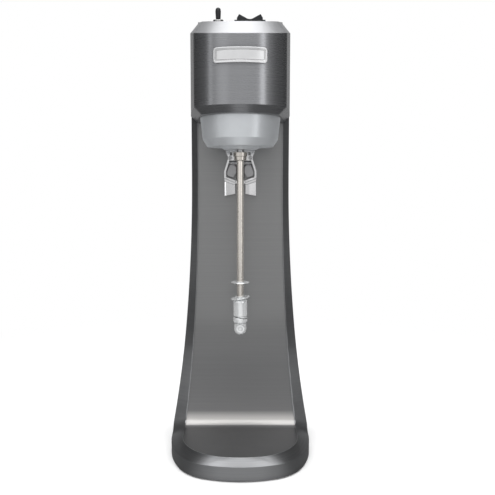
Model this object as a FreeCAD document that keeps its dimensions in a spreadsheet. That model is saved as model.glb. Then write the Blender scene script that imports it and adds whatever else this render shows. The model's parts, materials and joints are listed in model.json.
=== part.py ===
import FreeCAD, Part
import math
import os
from types import SimpleNamespace

import Sketcher
from FreeCAD import Placement, Rotation, Vector

# A single-spindle drink mixer. Units are millimetres, +Z is up, the front faces -Y and the origin is
# on the bench under the middle of the machine.

DOC = FreeCAD.newDocument("DrinkMixer")
SHEET = DOC.addObject("Spreadsheet::Sheet", "Sizes")
NODES = {}

SIZES = {
    # stand: base, flared column and the cove between them
    "base_half_width": 82.0,
    "base_front": 85.0,
    "base_back": 81.0,
    "base_underside": 1.5,
    "base_top": 25.0,
    "base_side_start": 0.0,
    "base_corner_x": 22.6,
    "base_corner_y": 29.4,
    "base_corner_radius": 52.0,
    "column_half_width": 59.9,
    "column_front": 46.0,
    "flare_top": 330.0,
    "sweep_radius": 178.6,
    "sweep_angle": 35.0,
    "cove_radius": 16.0,
    "bevel": 8.0,
    "rear_corner": 14.0,
    "stand_wall": 5.0,
    "flange_column": 8.0,
    "flange_base": 14.7,
    "rim_front": 78.3,
    "rim_front_radius": 150.8,
    "rim_corner_radius": 57.8,
    # splash panel laid into the front of the stand, inside the flange
    "panel_edge": 0.8,
    "panel_thickness": 1.5,
    "panel_sink": 0.8,
    # motor head
    "head_front": 70.0,
    "head_half_width": 50.0,
    "head_flank_width": 56.4,
    "head_front_radius": 62.0,
    "head_corner_radius": 14.0,
    "head_bottom": 391.3,
    "head_bevel_rise": 7.7,
    "head_wall": 3.5,
    "roof_slope": 13.2,
    "cap_front_height": 469.5,
    "cap_rise": 12.0,
    "cap_inset": 10.0,
    "cap_wall": 3.2,
    "badge_half_width": 27.7,
    "badge_low": 440.5,
    "badge_high": 456.0,
    "badge_corner": 3.2,
    # drive line
    "spindle_y": -10.0,
    "shaft_radius": 4.0,
    "rod_radius": 3.9,
    "bearing_outer": 11.0,
    "bearing_width": 7.0,
    "lower_bearing": 362.2,
    "upper_bearing": 456.0,
    "running_gap": 0.05,
    "core_radius": 22.0,
    "core_bottom": 398.0,
    "core_top": 432.0,
    "stator_radius": 45.0,
    "bell_radius": 45.0,
    "bell_bottom": 356.0,
    "commutator_radius": 12.0,
    "agitator_radius": 7.95,
    "rod_bottom": 150.0,
    "cross_screw": 151.3,
    # controls on the sloping roof
    "control_y": -38.5,
    "toggle_x": -23.4,
    "toggle_pin": 0.7,
    "rocker_x": 10.0,
    "toggle_height": 13.8,
    "rocker_half_width": 16.2,
    "rocker_half_depth": 11.0,
    # cup bracket and its lever
    "bracket_top": 358.0,
    "bracket_bottom": 303.0,
    "bracket_half_width": 19.5,
    "bracket_front": 37.0,
    "bracket_screw_x": 12.3,
    "bracket_screw_z": 349.3,
    "cup_radius": 50.0,
    "lever_y": 41.0,
    "lever_z": 343.0,
    "contact_z": 328.0,
    "pin_radius": 1.25,
}


class Dim:
    """A length that carries its value and the spreadsheet expression it comes from."""

    def __init__(self, value, text):
        self.value = value
        self.text = text

    def __add__(self, other):
        return Dim(self.value + value_of(other), f"({self.text} + {text_of(other)})")

    def __radd__(self, other):
        return as_dim(other) + self

    def __sub__(self, other):
        return Dim(self.value - value_of(other), f"({self.text} - {text_of(other)})")

    def __rsub__(self, other):
        return as_dim(other) - self

    def __mul__(self, other):
        return Dim(self.value * value_of(other), f"({self.text} * {text_of(other)})")

    def __rmul__(self, other):
        return as_dim(other) * self

    def __truediv__(self, other):
        return Dim(self.value / value_of(other), f"({self.text} / {text_of(other)})")

    def __neg__(self):
        return as_dim(0) - self


def value_of(size):
    return size.value if isinstance(size, Dim) else float(size)


def text_of(size):
    return size.text if isinstance(size, Dim) else repr(float(size))


def as_dim(size):
    return size if isinstance(size, Dim) else Dim(float(size), text_of(size))


def square_root(size):
    return Dim(math.sqrt(size.value), f"sqrt({size.text})")


def tangent_of(angle):
    return Dim(math.tan(math.radians(angle.value)), f"tan({angle.text})")


def fill_sheet():
    for row, (alias, number) in enumerate(SIZES.items(), start=1):
        SHEET.set(f"A{row}", alias)
        SHEET.set(f"B{row}", str(number))
        SHEET.setAlias(f"B{row}", alias)
    DOC.recompute()
    return SimpleNamespace(**{k: Dim(v, f"Sizes.{k}") for k, v in SIZES.items()})


S = fill_sheet()


# ---------------------------------------------------------------------------------------------
# Helpers: binding, sketches, solids and booleans


def bind(thing, name, size):
    """Sets a property from a number, or from the sheet when the size is a Dim."""
    if isinstance(size, Dim):
        thing.setExpression(name, size.text)
    else:
        setattr(thing, name, size)


def put(thing, at, turn=None):
    """Gives an object its Placement, bound to the sheet where the coordinates are Dims."""
    thing.Placement = Placement(Vector(*[value_of(c) for c in at]), turn or Rotation())
    for axis, coordinate in zip("xyz", at):
        if isinstance(coordinate, Dim):
            thing.setExpression(f"Placement.Base.{axis}", coordinate.text)
    return thing


def node(name, thing):
    thing.Label = name
    NODES[name] = thing
    return thing


def pin_point(sketch, geometry, end, point):
    """Fixes one sketch point to the sheet's sizes."""
    for kind, axis, size in (("DistanceX", -2, point[0]), ("DistanceY", -1, point[1])):
        if not isinstance(size, Dim) and abs(size) < 1e-9:
            sketch.addConstraint(Sketcher.Constraint("PointOnObject", geometry, end, axis))
            continue
        index = sketch.addConstraint(Sketcher.Constraint(kind, -1, 1, geometry, end, value_of(size)))
        if isinstance(size, Dim):
            sketch.setExpression(f"Constraints[{index}]", size.text)


def arc_between(start, end, radius):
    """The short arc from start to end; a positive radius turns left, a negative one turns right."""
    middle = (start + end) * 0.5
    half = (end - start).Length / 2
    left = Vector(start.y - end.y, end.x - start.x, 0).normalize()
    reach = math.sqrt(radius * radius - half * half)
    centre = middle + left * (reach if radius > 0 else -reach)
    first, last = (start, end) if radius > 0 else (end, start)
    angles = [math.atan2(p.y - centre.y, p.x - centre.x) for p in (first, last)]
    return Part.ArcOfCircle(Part.Circle(centre, Vector(0, 0, 1), abs(radius)), *angles)


def draw_outline(sketch, points):
    """A closed outline. A point is (u, v), or (u, v, radius) where an arc arrives at it."""
    flat = [Vector(value_of(p[0]), value_of(p[1]), 0) for p in points]
    ends = []
    for k, point in enumerate(points):
        start, end = flat[k - 1], flat[k]
        if len(point) == 2:
            geometry = sketch.addGeometry(Part.LineSegment(start, end))
            ends.append((geometry, 1, 2))
            continue
        radius = value_of(point[2])
        geometry = sketch.addGeometry(arc_between(start, end, radius))
        index = sketch.addConstraint(Sketcher.Constraint("Radius", geometry, abs(radius)))
        if isinstance(point[2], Dim):
            size = point[2] if radius > 0 else -point[2]
            sketch.setExpression(f"Constraints[{index}]", size.text)
        ends.append((geometry, 1, 2) if radius > 0 else (geometry, 2, 1))
    for k, point in enumerate(points):
        here = ends[k]
        following = ends[(k + 1) % len(points)]
        sketch.addConstraint(Sketcher.Constraint("Coincident", here[0], here[2], following[0], following[1]))
        pin_point(sketch, here[0], here[2], point)


def draw_circles(sketch, centres, radius):
    for centre in centres:
        circle = Part.Circle(Vector(value_of(centre[0]), value_of(centre[1]), 0), Vector(0, 0, 1), value_of(radius))
        geometry = sketch.addGeometry(circle)
        pin_point(sketch, geometry, 3, centre)
        index = sketch.addConstraint(Sketcher.Constraint("Radius", geometry, value_of(radius)))
        if isinstance(radius, Dim):
            sketch.setExpression(f"Constraints[{index}]", radius.text)


PLANES = {
    # name: (turn of a free sketch, direction it is pushed, index of that direction)
    "XY": (Rotation(), Vector(0, 0, 1), 2),
    "XZ": (Rotation(Vector(1, 0, 0), 90), Vector(0, 1, 0), 1),
    "YZ": (Rotation(Vector(1, 1, 1), 120), Vector(1, 0, 0), 0),
}


def flat_sketch(name, plane, level, points):
    """A free sketch on a plane parallel to XY, XZ or YZ at the given level."""
    turn, _, index = PLANES[plane]
    sketch = DOC.addObject("Sketcher::SketchObject", name)
    at = [0.0, 0.0, 0.0]
    at[index] = level
    put(sketch, at, turn)
    draw_outline(sketch, points)
    return sketch


def pushed(name, plane, level, length, points):
    """An outline pushed along the plane's normal from level, by length."""
    sketch = flat_sketch(name + "_outline", plane, level, points)
    solid = DOC.addObject("Part::Extrusion", name)
    solid.Base = sketch
    solid.DirMode = "Custom"
    solid.Dir = PLANES[plane][1]
    solid.Solid = True
    bind(solid, "LengthFwd", length)
    return solid


def lofted(name, sketches):
    solid = DOC.addObject("Part::Loft", name)
    solid.Sections = sketches
    solid.Solid = True
    solid.Ruled = True
    return solid


def box(name, low, high, turn=None):
    """A block between two corners."""
    solid = DOC.addObject("Part::Box", name)
    for side, a, b in zip(("Length", "Width", "Height"), low, high):
        bind(solid, side, b - a)
    return put(solid, low, turn)


AXES = {
    "Z": Rotation(),
    "Y": Rotation(Vector(1, 0, 0), -90),
    "X": Rotation(Vector(0, 1, 0), 90),
}


def rod(name, radius, length, at, axis="Z", turn=None):
    """A cylinder that starts at a point and runs along an axis."""
    solid = DOC.addObject("Part::Cylinder", name)
    bind(solid, "Radius", radius)
    bind(solid, "Height", length)
    return put(solid, at, turn or AXES[axis])


def fused(name, *parts):
    solid = DOC.addObject("Part::MultiFuse", name)
    solid.Shapes = list(parts)
    solid.Refine = True
    return solid


def shared(name, *parts):
    solid = DOC.addObject("Part::MultiCommon", name)
    solid.Shapes = list(parts)
    return solid


def cut(name, base, *tools):
    solid = DOC.addObject("Part::Cut", name)
    solid.Base = base
    solid.Tool = tools[0] if len(tools) == 1 else fused(name + "_tools", *tools)
    return solid


def flipped(name, source):
    """The mirror image across the machine's middle plane."""
    solid = DOC.addObject("Part::Mirroring", name)
    solid.Source = source
    solid.Normal = Vector(1, 0, 0)
    return solid


def group(name, *parts):
    """Several separate solids kept together in one sub-part."""
    solid = DOC.addObject("Part::Compound", name)
    solid.Links = list(parts)
    return solid


def body_sketch(body, role, level=0.0):
    """A sketch attached to one of the body's own origin planes, raised by level along its normal."""
    sketch = body.newObject("Sketcher::SketchObject", body.Name + "_sketch")
    plane = next(f for f in body.Origin.OriginFeatures if f.Role == role)
    sketch.AttachmentSupport = [(plane, "")]
    sketch.MapMode = "FlatFace"
    sketch.AttachmentOffset = Placement(Vector(0, 0, value_of(level)), Rotation())
    if isinstance(level, Dim):
        sketch.setExpression("AttachmentOffset.Base.z", level.text)
    return sketch


def turned(name, profile, at=(0.0, S.spindle_y, 0.0), turn=None):
    """A lathe-turned body: the closed (radius, height) profile spun about the vertical axis."""
    body = DOC.addObject("PartDesign::Body", name)
    sketch = body_sketch(body, "XZ_Plane")
    draw_outline(sketch, profile)
    spin = body.newObject("PartDesign::Revolution", name + "_spin")
    spin.Profile = sketch
    spin.ReferenceAxis = (sketch, ["V_Axis"])
    spin.Angle = 360.0
    return put(body, at, turn)


def padded_body(name, points, level, length, circles=(), hole_radius=1.0):
    """A flat body padded up from a horizontal outline, with round holes cut right through."""
    body = DOC.addObject("PartDesign::Body", name)
    sketch = body_sketch(body, "XY_Plane", level)
    draw_outline(sketch, points)
    if circles:
        draw_circles(sketch, circles, hole_radius)
    pad = body.newObject("PartDesign::Pad", name + "_pad")
    pad.Profile = sketch
    bind(pad, "Length", length)
    return body


def repeat_around(body, feature, count):
    """Repeats the body's last feature about its vertical axis and makes the pattern its tip."""
    pattern = body.newObject("PartDesign::PolarPattern", body.Name + "_pattern")
    axis = next(f for f in body.Origin.OriginFeatures if f.Role == "Z_Axis")
    pattern.Originals = [feature]
    pattern.Axis = (axis, [""])
    pattern.Angle = 360.0
    pattern.Occurrences = count
    body.Tip = pattern


def ring_profile(inner, outer, low, high):
    return [(inner, low), (outer, low), (outer, high), (inner, high)]


def rectangle(half_u, low_v, high_v):
    return [(-half_u, low_v), (half_u, low_v), (half_u, high_v), (-half_u, high_v)]


# ---------------------------------------------------------------------------------------------
# Outlines shared by several pieces


def arch(half, front, big, small, back):
    """Plan outline with a bowed front, rounded front corners and straight sides."""
    bow_centre = big - front
    reach = big - small
    side_start = bow_centre - square_root(reach * reach - (half - small) * (half - small))
    join_x = (half - small) * big / reach
    join_y = bow_centre + (side_start - bow_centre) * big / reach
    return [
        (-half, back),
        (-half, side_start),
        (-join_x, join_y, small),
        (join_x, join_y, big),
        (half, side_start, small),
        (half, back),
    ]


def base_plan(inset, back=S.base_back):
    """Plan outline of the base: a bowed front, rounded corners and gently bowed sides, all tangent."""
    half, start = S.base_half_width, S.base_side_start
    corner, x, y = S.base_corner_radius, S.base_corner_x, S.base_corner_y
    ahead = S.base_front - y
    front = (x * x + ahead * ahead - corner * corner) / (2 * (ahead - corner))
    beside = half - x
    below = y + start
    side = (beside * beside + below * below - corner * corner) / (2 * (beside - corner))
    front_share = (front - inset) / (front - corner)
    side_share = (side - inset) / (side - corner)
    front_y = front - S.base_front
    front_join = (x * front_share, front_y - (y + front_y) * front_share)
    side_join = (half - side + (x - half + side) * side_share, start - below * side_share)
    return [
        (inset - half, back),
        (inset - half, start),
        (-side_join[0], side_join[1], side - inset),
        (-front_join[0], front_join[1], corner - inset),
        (front_join[0], front_join[1], front - inset),
        (side_join[0], side_join[1], corner - inset),
        (half - inset, start, side - inset),
        (half - inset, back),
    ]


def rim_plan(inset, back):
    """Plan outline of the raised rim round the front of the base."""
    half = S.base_half_width - S.flange_base - inset
    front = arch(half, S.rim_front - inset, S.rim_front_radius - inset, S.rim_corner_radius - inset, back)
    start = S.base_side_start
    return [front[0], (-half, start)] + front[1:5] + [(half, start), front[5]]


def front_outline(base_half, column_half, low, high):
    """Front view of the stand: straight column, long flare and upright base sides."""
    rise = S.flare_top - S.base_top
    spread = base_half - column_half
    flare = (rise * rise + spread * spread) / (2 * spread)
    return [
        (-base_half, low),
        (base_half, low),
        (base_half, S.base_top),
        (column_half, S.flare_top, -flare),
        (column_half, high),
        (-column_half, high),
        (-column_half, S.flare_top),
        (-base_half, S.base_top, -flare),
    ]


SWEEP_TURN = math.radians(S.sweep_angle.value)
SWEEP_TOP = S.base_top + S.cove_radius * (1 - math.sin(SWEEP_TURN)) + S.sweep_radius * math.sin(SWEEP_TURN)
COVE_END = S.column_front - S.sweep_radius * (1 - math.cos(SWEEP_TURN)) - S.cove_radius * math.cos(SWEEP_TURN)


def front_profile(sink):
    """The stand's front from the side: column, a long forward sweep and a cove that ends on the base."""
    sweep = S.sweep_radius + sink
    cove = S.cove_radius + sink
    join = (COVE_END + cove * math.cos(SWEEP_TURN), S.base_top + S.cove_radius - cove * math.sin(SWEEP_TURN))
    return [(S.column_front + sink, SWEEP_TOP), (join[0], join[1], -sweep), (COVE_END, S.base_top - sink, -cove)]


def side_outline(sink, low, back, high):
    """Side view of the stand behind its front surface, set back by sink."""
    return [
        (-100.0, low),
        (back, low),
        (back, high),
        (S.column_front + sink, high),
        *front_profile(sink),
        (-100.0, S.base_top - sink),
    ]


def head_plan(inset, back):
    """Plan of the motor head: bowed front, round corners and flanks that widen towards the column."""
    half = S.head_half_width - inset
    flank = S.head_flank_width - inset
    column = S.column_half_width - inset
    front = arch(
        half,
        S.head_front - inset,
        S.head_front_radius - inset,
        S.head_corner_radius - inset,
        0.0,
    )
    return [(-column, back), (-column, S.column_front), (-flank, 5.0)] + front[1:5] + [
        (flank, 5.0),
        (column, S.column_front),
        (column, back),
    ]


SLOPE = tangent_of(S.roof_slope)


def roof_block(name, height):
    """A large block whose underside is the sloping plane at the given height above the head's front."""
    return box(
        name,
        (-100.0, -110.0, S.cap_front_height + height - SLOPE * (110.0 - S.head_front)),
        (100.0, 170.0, S.cap_front_height + height - SLOPE * (110.0 - S.head_front) + 120.0),
        Rotation(Vector(1, 0, 0), S.roof_slope.value),
    )


# ---------------------------------------------------------------------------------------------
# Stand, panel and covers


def stand_hollow(high):
    """The space inside the stand, open underneath."""
    wall = S.stand_wall
    front_view = pushed("hollow_front", "XZ", -90.0, 180.0, front_outline(
        S.base_half_width - 2 * wall, S.column_half_width - wall, 0.0, high))
    side_view = pushed("hollow_side", "YZ", -90.0, 180.0, side_outline(wall, 0.0, S.base_back - wall, high))
    plan = pushed("hollow_plan", "XY", 0.0, 560.0, base_plan(wall + 2.0))
    plate_seat = pushed("plate_seat", "XY", 0.0, 7.0, base_plan(wall, S.base_back - wall))
    return fused("stand_hollow", shared("stand_inside", front_view, side_view, plan), plate_seat)


def flared(base_half, column_half, height):
    """Half width at a height on the flare between base and column."""
    rise = S.flare_top - S.base_top
    spread = base_half - column_half
    radius = (rise * rise + spread * spread) / (2 * spread)
    above = S.flare_top - height
    if above.value <= 0:
        return as_dim(column_half)
    return column_half + radius - square_root(radius * radius - above * above)


def flange_section(name, y, z, tilt):
    """Triangle that trims the flange where the stand's front surface passes a point with a tilt."""
    inner = flared(S.base_half_width - S.flange_base, S.column_half_width - S.flange_column, z)
    outer = flared(S.base_half_width, S.column_half_width, z)
    run = outer - inner
    reach = 0.6
    section = flat_sketch(name, "XY", 0.0, [
        (inner - reach * run, reach * S.bevel),
        (outer + reach * run, -(1 + reach) * S.bevel),
        (outer + reach * run, reach * S.bevel),
    ])
    put(section, (0.0, y, z), Rotation(Vector(1, 0, 0), tilt))
    return section


def flange_tool():
    """Trims the flange down one side of the stand: column, flare, cove and a little of the base."""
    sections = []
    for height in (540.0, 480.0, 400.0, 330.0, 280.0, 230.0, 180.0, 150.0):
        sections.append(flange_section("flange_column", S.column_front, as_dim(height), 180.0))
    for angle in (0.0, 7.0, 14.0, 21.0, 28.0, 35.0):
        turn = math.radians(angle)
        y = S.column_front - S.sweep_radius * (1 - math.cos(turn))
        sections.append(flange_section("flange_sweep", y, SWEEP_TOP - S.sweep_radius * math.sin(turn), 180.0 - angle))
    for angle in (46.0, 57.0, 68.0, 79.0, 90.0):
        turn = math.radians(angle)
        z = S.base_top + S.cove_radius * (1 - math.sin(turn))
        sections.append(flange_section("flange_cove", COVE_END + S.cove_radius * math.cos(turn), z, 180.0 - angle))
    sections.append(flange_section("flange_base", COVE_END - 6.0, S.base_top, 90.0))
    return lofted("flange_trim", sections)


def edges_where(shape, test):
    return [i for i, edge in enumerate(shape.Edges, start=1) if test([v.Point for v in edge.Vertexes])]


def on_rear_corner(ends):
    back = value_of(S.base_back)
    return abs(ends[0].z - ends[-1].z) > 1.0 and all(abs(p.y - back) < 0.01 for p in ends)


def edge_feature(kind, name, base, edges, first, second):
    feature = DOC.addObject(kind, name)
    feature.Base = base
    feature.Edges = [(index, first, second) for index in edges]
    return feature


def panel_front(name, sink):
    """Everything in front of a surface parallel to the stand's front, within the panel's outline."""
    outline = pushed(name + "_front", "XZ", -90.0, 180.0, front_outline(
        S.base_half_width - S.flange_base - S.panel_edge,
        S.column_half_width - S.flange_column - S.panel_edge,
        0.0,
        S.head_bottom - 0.5,
    ))
    plan = pushed(name + "_plan", "XY", 0.0, 560.0, rim_plan(S.panel_edge, S.base_back))
    behind = pushed(name + "_behind", "YZ", -90.0, 180.0, side_outline(sink, -5.0, 90.0, 560.0))
    return cut(name, shared(name + "_column", outline, plan), behind)


def make_stand():
    high = 520.0
    low = S.base_underside
    front_view = pushed("column_outline", "XZ", -90.0, 180.0, front_outline(
        S.base_half_width, S.column_half_width, low, high))
    side_view = pushed("column_profile", "YZ", -90.0, 180.0, [
        (COVE_END, low), (S.base_back, low), (S.base_back, high), (S.column_front, high), *front_profile(0.0),
    ])
    column = shared("column_block", front_view, side_view)
    DOC.recompute()
    corner = value_of(S.rear_corner)
    rounded = edge_feature("Part::Fillet", "column_rounded", column, edges_where(column.Shape, on_rear_corner),
                           corner, corner)
    DOC.recompute()
    trim = flange_tool()
    bevelled = cut("column_bevelled", rounded, trim, flipped("flange_trim_left", trim))
    upright = pushed("base_block", "XY", low, S.base_top - S.bevel - low, base_plan(0.0, 30.0))
    slope = lofted("base_slope", [
        flat_sketch("base_slope_low", "XY", S.base_top - S.bevel, base_plan(0.0, 30.0)),
        flat_sketch("base_slope_high", "XY", S.base_top, rim_plan(0.0, 30.0)),
    ])
    outer = fused("stand_outer", bevelled, upright, slope)
    hollow = stand_hollow(high)
    posts = []
    for side in (-1, 1):
        posts.append(rod("base_post", 6.0, 17.0, (58.0 * side, -38.0, 5.0)))
        posts.append(rod("base_post", 6.0, 17.0, (73.0 * side, 52.0, 5.0)))
        posts.append(rod("cap_post", 7.0, 90.0, (48.5 * side, 64.0, 430.0)))
    hollow_left = cut("stand_hollow_left", hollow, *posts)
    behind = S.base_back - 10.0
    opening = box("rear_opening", (-36.0, behind, 40.0), (36.0, S.base_back + 5.0, 474.0))
    rabbet = box("rear_rabbet", (-44.0, S.base_back - 2.0, 34.0), (44.0, S.base_back + 5.0, 480.0))
    wire_way = box("wire_way", (-36.0, 40.0, 400.0), (36.0, 60.0, 476.0))
    slot = box("lever_slot", (-5.0, 40.0, 323.0), (5.0, 60.0, 349.0))
    drilled = []
    for side in (-1, 1):
        for height in (404.0, 468.0):
            drilled.append(rod("housing_bolt_hole", 2.05, 20.0, (49.0 * side, 40.0, height), "Y"))
        for height in (50.0, 257.0, 464.0):
            drilled.append(rod("rear_screw_hole", 1.5, 20.0, (40.0 * side, 72.0, height), "Y"))
        drilled.append(rod("bracket_screw_hole", 1.6, 20.0, (S.bracket_screw_x * side, 40.0, S.bracket_screw_z), "Y"))
        drilled.append(rod("base_screw_hole", 1.5, 10.0, (58.0 * side, -38.0, 0.0)))
        drilled.append(rod("base_screw_hole", 1.5, 10.0, (73.0 * side, 52.0, 0.0)))
        drilled.append(rod("cap_screw_hole", 1.5, 60.0, (48.5 * side, 64.0, 470.0)))
    recess = panel_front("panel_recess", S.panel_sink + S.panel_thickness)
    stand = cut(
        "stand_open", outer, hollow_left, opening, rabbet, wire_way, slot, recess, roof_block("stand_roof", 0.0),
        *drilled
    )
    node("stand_casting", stand)


def make_panel():
    outer = panel_front("panel_face", S.panel_sink)
    inner = panel_front("panel_back", S.panel_sink + S.panel_thickness)
    sheet = cut("panel_sheet", inner, outer)
    slot = box("panel_slot", (-5.0, 40.0, 323.0), (5.0, 60.0, 349.0))
    holes = [rod("panel_hole", 1.6, 20.0, (S.bracket_screw_x * side, 40.0, S.bracket_screw_z), "Y") for side in (-1, 1)]
    node("splash_panel", cut("panel_cut", sheet, slot, *holes))


def make_rear_cover():
    screws = [(40.0 * side, height) for side in (-1, 1) for height in (50.0, 257.0, 464.0)]
    plate = box("rear_plate", (-43.8, S.base_back - 2.0, 34.2), (43.8, S.base_back, 479.8))
    gland_hole = rod("gland_hole", 7.0, 20.0, (0.0, 70.0, 58.0), "Y")
    vents = []
    for row in range(6):
        height = 396.0 + 9.0 * row
        vents.append(box("vent", (-24.0, 70.0, height), (24.0, 90.0, height + 3.5)))
    holes = [rod("rear_clearance", 1.7, 20.0, (x, 70.0, z), "Y") for x, z in screws]
    node("rear_cover", cut("rear_cover_cut", plate, gland_hole, *vents, *holes))
    bolts = []
    for x, z in screws:
        shank = rod("rear_shank", 1.5, 8.0, (x, S.base_back - 8.0, z), "Y")
        head = rod("rear_head", 3.2, 1.6, (x, S.base_back, z), "Y")
        bolts.append(fused("rear_screw", shank, head))
    node("rear_cover_screws", group("rear_screws", *bolts))


def make_gland():
    profile = [(3.6, -9.0), (6.9, -9.0), (6.9, 0.0), (9.0, 0.0), (9.0, 1.6), (6.4, 4.0), (3.6, 4.0)]
    node("cord_gland", turned("gland", profile, (0.0, S.base_back, 58.0), AXES["Y"]))
    nut = [(6.9, -5.6), (9.8, -5.6), (9.8, -2.0), (6.9, -2.0)]
    node("gland_nut", turned("gland_ring", nut, (0.0, S.base_back, 58.0), AXES["Y"]))


def make_base():
    gap = S.stand_wall + 0.4
    screws = [(58.0, -38.0), (-58.0, -38.0), (73.0, 52.0), (-73.0, 52.0)]
    outline = base_plan(gap, S.base_back - gap)
    node("base_plate", padded_body("bottom_plate", outline, 3.0, 2.0, screws, 1.7))
    bolts = []
    for x, y in screws:
        shank = rod("base_shank", 1.5, 7.0, (x, y, 3.0))
        head = rod("base_head", 3.2, 1.4, (x, y, 1.6))
        bolts.append(fused("base_screw", shank, head))
    node("base_plate_screws", group("base_screws", *bolts))
    feet = []
    profile = [(0.0, 0.0), (7.0, 0.0), (8.0, 1.0), (8.0, 3.0), (0.0, 3.0)]
    for x, y in [(46.0, -50.0), (-46.0, -50.0), (62.0, 66.0), (-62.0, 66.0)]:
        feet.append(turned("foot", profile, (x, y, 0.0)))
    node("rubber_feet", group("feet", *feet))


# ---------------------------------------------------------------------------------------------
# Motor head: shell, cap, badge


def make_housing():
    upright = pushed("housing_upright", "XY", S.head_bottom + S.head_bevel_rise, 160.0, head_plan(0.0, 54.0))
    low = flat_sketch("housing_low", "XY", S.head_bottom, head_plan(8.0, 54.0))
    high = flat_sketch("housing_high", "XY", S.head_bottom + S.head_bevel_rise, head_plan(0.0, 54.0))
    skirt = lofted("housing_bevel", [low, high])
    outer = fused("housing_outer", upright, skirt)
    column = pushed("housing_column_gap", "XY", 300.0, 300.0, [
        (S.bevel - S.column_half_width, S.column_front),
        (S.column_half_width - S.bevel, S.column_front),
        (S.column_half_width, S.column_front + S.bevel),
        (S.column_half_width + 5.0, 100.0),
        (-S.column_half_width - 5.0, 100.0),
        (-S.column_half_width, S.column_front + S.bevel),
    ])
    floor = S.head_bottom + 3.0
    inside = fused(
        "housing_inside",
        pushed("inside_upper", "XY", S.head_bottom + S.head_bevel_rise + 1.0, 200.0, head_plan(S.head_wall, 54.0)),
        pushed("inside_lower", "XY", floor, 10.0, head_plan(12.0, 54.0)),
        rod("bell_seat", S.bell_radius + 3.0, 10.0, (0.0, S.spindle_y, floor)),
    )
    ledges = []
    for side in (-1, 1):
        for height in (404.0, 468.0):
            near, far = sorted((43.0 * side, 58.0 * side))
            ledges.append(box("bolt_ledge", (near, 36.0, height - 6.0), (far, 46.0, height + 6.0)))
    space = cut("housing_space", inside, *ledges)
    bell_way = rod("bell_way", S.bell_radius + 0.3, 30.0, (0.0, S.spindle_y, S.head_bottom - 10.0))
    holes = []
    for side in (-1, 1):
        for height in (404.0, 468.0):
            holes.append(rod("ledge_hole", 2.0, 8.0, (49.0 * side, 39.0, height), "Y"))
    node("motor_housing", cut("housing", outer, column, space, bell_way, roof_block("housing_roof", 0.0), *holes))
    bolts = []
    for side in (-1, 1):
        for height in (404.0, 468.0):
            shank = rod("housing_shank", 2.0, 11.0, (49.0 * side, 40.0, height), "Y")
            head = rod("housing_head", 3.8, 3.0, (49.0 * side, 51.0, height), "Y")
            bolts.append(fused("housing_bolt", shank, head))
    node("housing_bolts", group("bolts_to_column", *bolts))


def sheared(name, source, rise):
    """The source leaned back so that level surfaces climb with the roof, lifted by rise."""
    slope = value_of(SLOPE)
    lean = FreeCAD.Matrix()
    lean.A32 = slope
    lean.A34 = value_of(S.cap_front_height) + rise + slope * value_of(S.head_front)
    solid = DOC.addObject("Part::Feature", name)
    DOC.recompute()
    solid.Shape = source.Shape.transformGeometry(lean)
    return solid


def cap_plan(inset):
    """Plan of the roof cap: the head's plan carried back over the column, with round rear corners."""
    plan = head_plan(inset, 54.0)
    column = S.column_half_width - inset
    corner = S.rear_corner - 0.9 * inset
    back = S.base_back - inset
    rear_left = [(-(column - corner), back), (-column, back - corner, corner)]
    rear_right = [(column, back - corner), (column - corner, back, corner)]
    return rear_left + plan[1:-1] + rear_right


CONTROL_Z = S.cap_front_height + S.cap_rise + (S.control_y + S.head_front) * SLOPE
TILT = Rotation(Vector(1, 0, 0), S.roof_slope.value)


def on_roof(x, height=0.0):
    """A point above or below the roof where a control is mounted, measured square to the roof."""
    lean = math.radians(S.roof_slope.value)
    return (x, S.control_y - height * math.sin(lean), CONTROL_Z + height * math.cos(lean))


def roof_box(name, x, low, high):
    """A block in the roof's own tilted frame, given relative to the control's place."""
    solid = DOC.addObject("Part::Box", name)
    for side, a, b in zip(("Length", "Width", "Height"), low, high):
        bind(solid, side, b - a)
    frame = Placement(Vector(*[value_of(c) for c in on_roof(x)]), TILT)
    solid.Placement = frame.multiply(Placement(Vector(*[value_of(c) for c in low]), Rotation()))
    return solid


def make_cap():
    outer_low = flat_sketch("cap_low", "XY", 0.0, cap_plan(0.0))
    outer_high = flat_sketch("cap_high", "XY", S.cap_rise, cap_plan(S.cap_inset))
    inner_low = flat_sketch("cap_inner_low", "XY", -0.5, cap_plan(S.cap_wall - 0.4))
    inner_high = flat_sketch("cap_inner_high", "XY", S.cap_rise - S.cap_wall, cap_plan(S.cap_inset + 1.6))
    outer = sheared("cap_outer", lofted("cap_outer_flat", [outer_low, outer_high]), 0.0)
    inner = sheared("cap_inner", lofted("cap_inner_flat", [inner_low, inner_high]), 0.0)
    toggle_hole = rod("toggle_hole", 4.65, 30.0, on_roof(S.toggle_x, -15.0), turn=TILT)
    rocker_hole = roof_box("rocker_hole", S.rocker_x, (-15.3, -9.6, -20.0), (15.3, 9.6, 10.0))
    bosses, drilled, screws = [], [], []
    for side in (-1, 1):
        x, y = 48.5 * side, 64.0
        roof = S.cap_front_height + S.cap_rise + SLOPE * (y + S.head_front)
        bosses.append(rod("cap_boss", 5.0, 30.0, (x, y, roof - 30.0)))
        drilled.append(rod("cap_clearance", 1.7, 60.0, (x, y, roof - 40.0)))
        drilled.append(rod("cap_counterbore", 3.4, 12.0, (x, y, roof - 0.9)))
        shank = rod("cap_shank", 1.5, 24.0, (x, y, roof - 24.9))
        head = rod("cap_head", 3.2, 1.6, (x, y, roof - 0.9))
        screws.append(fused("cap_screw", shank, head))
    inside = cut("cap_inner_left", inner, *bosses)
    node("top_cap", cut("cap", outer, inside, toggle_hole, rocker_hole, *drilled))
    node("cap_screws", group("roof_screws", *screws))


def rounded_rectangle(half, low, high, corner):
    return [
        (-half, low + corner),
        (-half + corner, low, corner),
        (half - corner, low),
        (half, low + corner, corner),
        (half, high - corner),
        (half - corner, high, corner),
        (-half + corner, high),
        (-half, high - corner, corner),
    ]


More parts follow.
